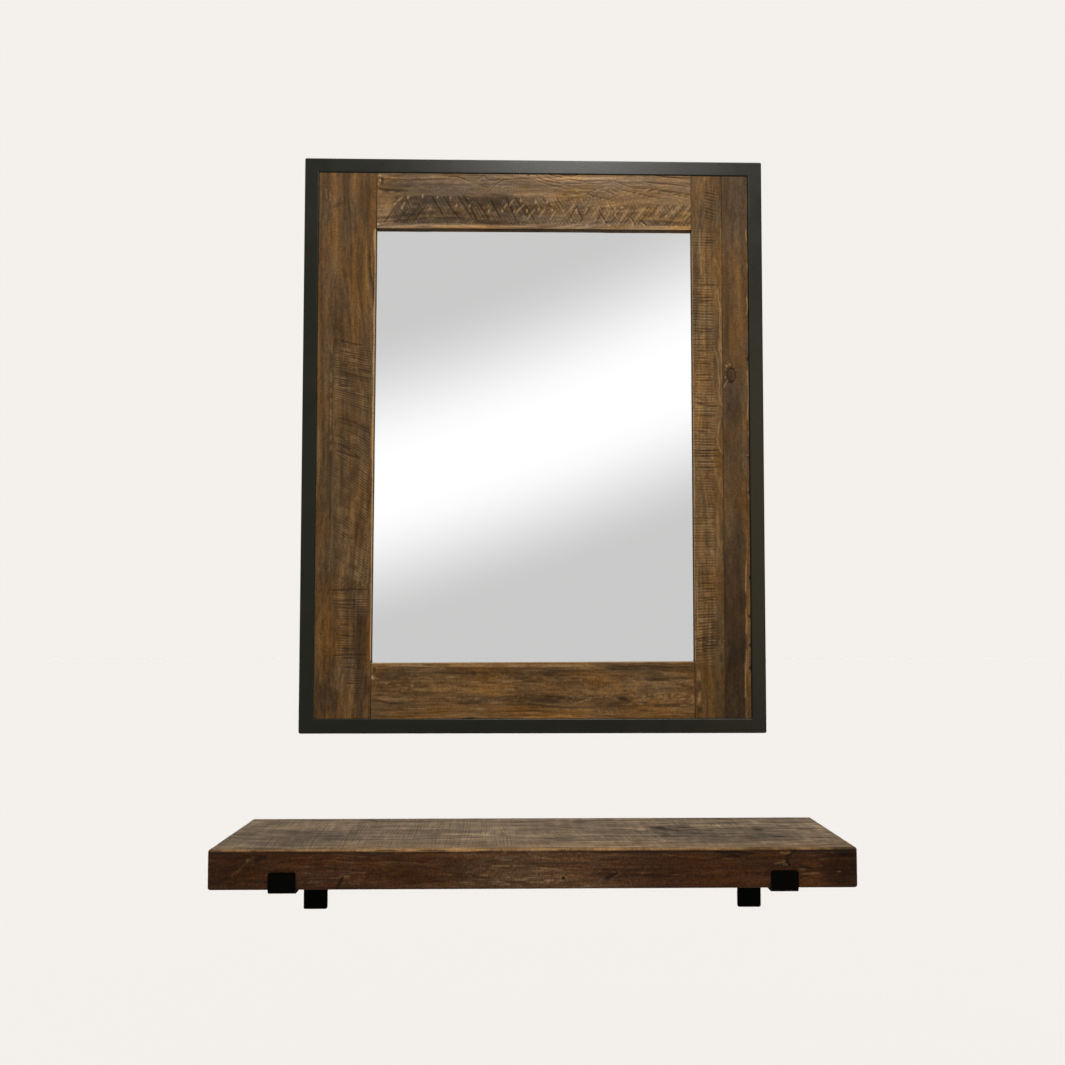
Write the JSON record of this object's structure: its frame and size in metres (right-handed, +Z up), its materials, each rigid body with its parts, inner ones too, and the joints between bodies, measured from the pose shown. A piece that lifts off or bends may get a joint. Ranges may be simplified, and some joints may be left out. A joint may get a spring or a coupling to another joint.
{
  "type": "wall mirror with shelf",
  "caption": "Wall mirror in a reclaimed timber frame edged with black steel tube, with a thick timber shelf on bent steel brackets hung below it.",
  "frame": {"origin": "centre of the four wall screw holes in the shelf brackets, on the wall plane", "axes": "+Z up, +Y into the wall, +X to the right as seen from the room"},
  "size_m": [0.965, 0.255, 1.3],
  "materials": {
    "black_steel": "satin black lacquer over ground tube",
    "bracket_steel": "matt black powder coat",
    "frame_timber": "waxed reclaimed softwood with saw marks and worn edges",
    "dark_timber": "waxed reclaimed softwood, darker and smoother",
    "shelf_timber": "dark waxed reclaimed softwood with worn front edge",
    "beech": "raw",
    "silvered_glass": "polished float glass with silvered back",
    "foam": "closed-cell foam",
    "fibreboard": "raw fibreboard",
    "zinc": "zinc plated",
    "bumper_rubber": "matt"
  },
  "bodies": {
    "root": {"steel_tube_top": "black_steel", "steel_tube_bottom": "black_steel", "steel_tube_left": "black_steel", "steel_tube_right": "black_steel", "top_rail": "frame_timber", "bottom_rail": "frame_timber", "left_stile": "frame_timber", "right_stile_inner_board": "frame_timber", "right_stile_outer_board": "dark_timber", "frame_dowels": "beech", "fixing_tabs": "black_steel", "fixing_screws": "zinc", "mirror_glass": "silvered_glass", "foam_sheet": "foam", "backing_board": "fibreboard", "turn_button_screws": "zinc", "hanger_strap_left": "zinc", "hanger_strap_right": "zinc", "hanger_screws": "zinc", "wall_bumpers": "bumper_rubber", "shelf_board": "shelf_timber", "shelf_bracket_left": "bracket_steel", "shelf_bracket_right": "bracket_steel", "shelf_screws": "bracket_steel"},
    "turn_button_left_low": {"turn_button_left_low": "zinc"},
    "turn_button_left_mid": {"turn_button_left_mid": "zinc"},
    "turn_button_left_high": {"turn_button_left_high": "zinc"},
    "turn_button_right_low": {"turn_button_right_low": "zinc"},
    "turn_button_right_mid": {"turn_button_right_mid": "zinc"},
    "turn_button_right_high": {"turn_button_right_high": "zinc"},
    "turn_button_top": {"turn_button_top": "zinc"},
    "turn_button_bottom": {"turn_button_bottom": "zinc"},
    "hanger_ring_left": {"hanger_ring_left": "zinc"},
    "hanger_ring_right": {"hanger_ring_right": "zinc"}
  },
  "joints": [
    {"name": "turn_button_left_low_turn", "type": "hinge", "parent": "root", "child": "turn_button_left_low", "pos_m": [-0.297, -0.0058, 0.4735], "axis": [0, 1, 0], "continuous": true},
    {"name": "turn_button_left_mid_turn", "type": "hinge", "parent": "root", "child": "turn_button_left_mid", "pos_m": [-0.297, -0.0058, 0.7435], "axis": [0, 1, 0], "continuous": true},
    {"name": "turn_button_left_high_turn", "type": "hinge", "parent": "root", "child": "turn_button_left_high", "pos_m": [-0.297, -0.0058, 1.0135], "axis": [0, 1, 0], "continuous": true},
    {"name": "turn_button_right_low_turn", "type": "hinge", "parent": "root", "child": "turn_button_right_low", "pos_m": [0.297, -0.0058, 0.4735], "axis": [0, 1, 0], "continuous": true},
    {"name": "turn_button_right_mid_turn", "type": "hinge", "parent": "root", "child": "turn_button_right_mid", "pos_m": [0.297, -0.0058, 0.7435], "axis": [0, 1, 0], "continuous": true},
    {"name": "turn_button_right_high_turn", "type": "hinge", "parent": "root", "child": "turn_button_right_high", "pos_m": [0.297, -0.0058, 1.0135], "axis": [0, 1, 0], "continuous": true},
    {"name": "turn_button_top_turn", "type": "hinge", "parent": "root", "child": "turn_button_top", "pos_m": [0, -0.0058, 1.1405], "axis": [0, 1, 0], "continuous": true},
    {"name": "turn_button_bottom_turn", "type": "hinge", "parent": "root", "child": "turn_button_bottom", "pos_m": [0, -0.0058, 0.3465], "axis": [0, 1, 0], "continuous": true},
    {"name": "hanger_ring_left_swing", "type": "hinge", "parent": "root", "child": "hanger_ring_left", "pos_m": [-0.3, -0.0039, 0.9335], "axis": [0, 0, 1], "range_deg": [0, 170]},
    {"name": "hanger_ring_right_swing", "type": "hinge", "parent": "root", "child": "hanger_ring_right", "pos_m": [0.3, -0.0039, 0.9335], "axis": [0, 0, -1], "range_deg": [0, 170]}
  ]
}
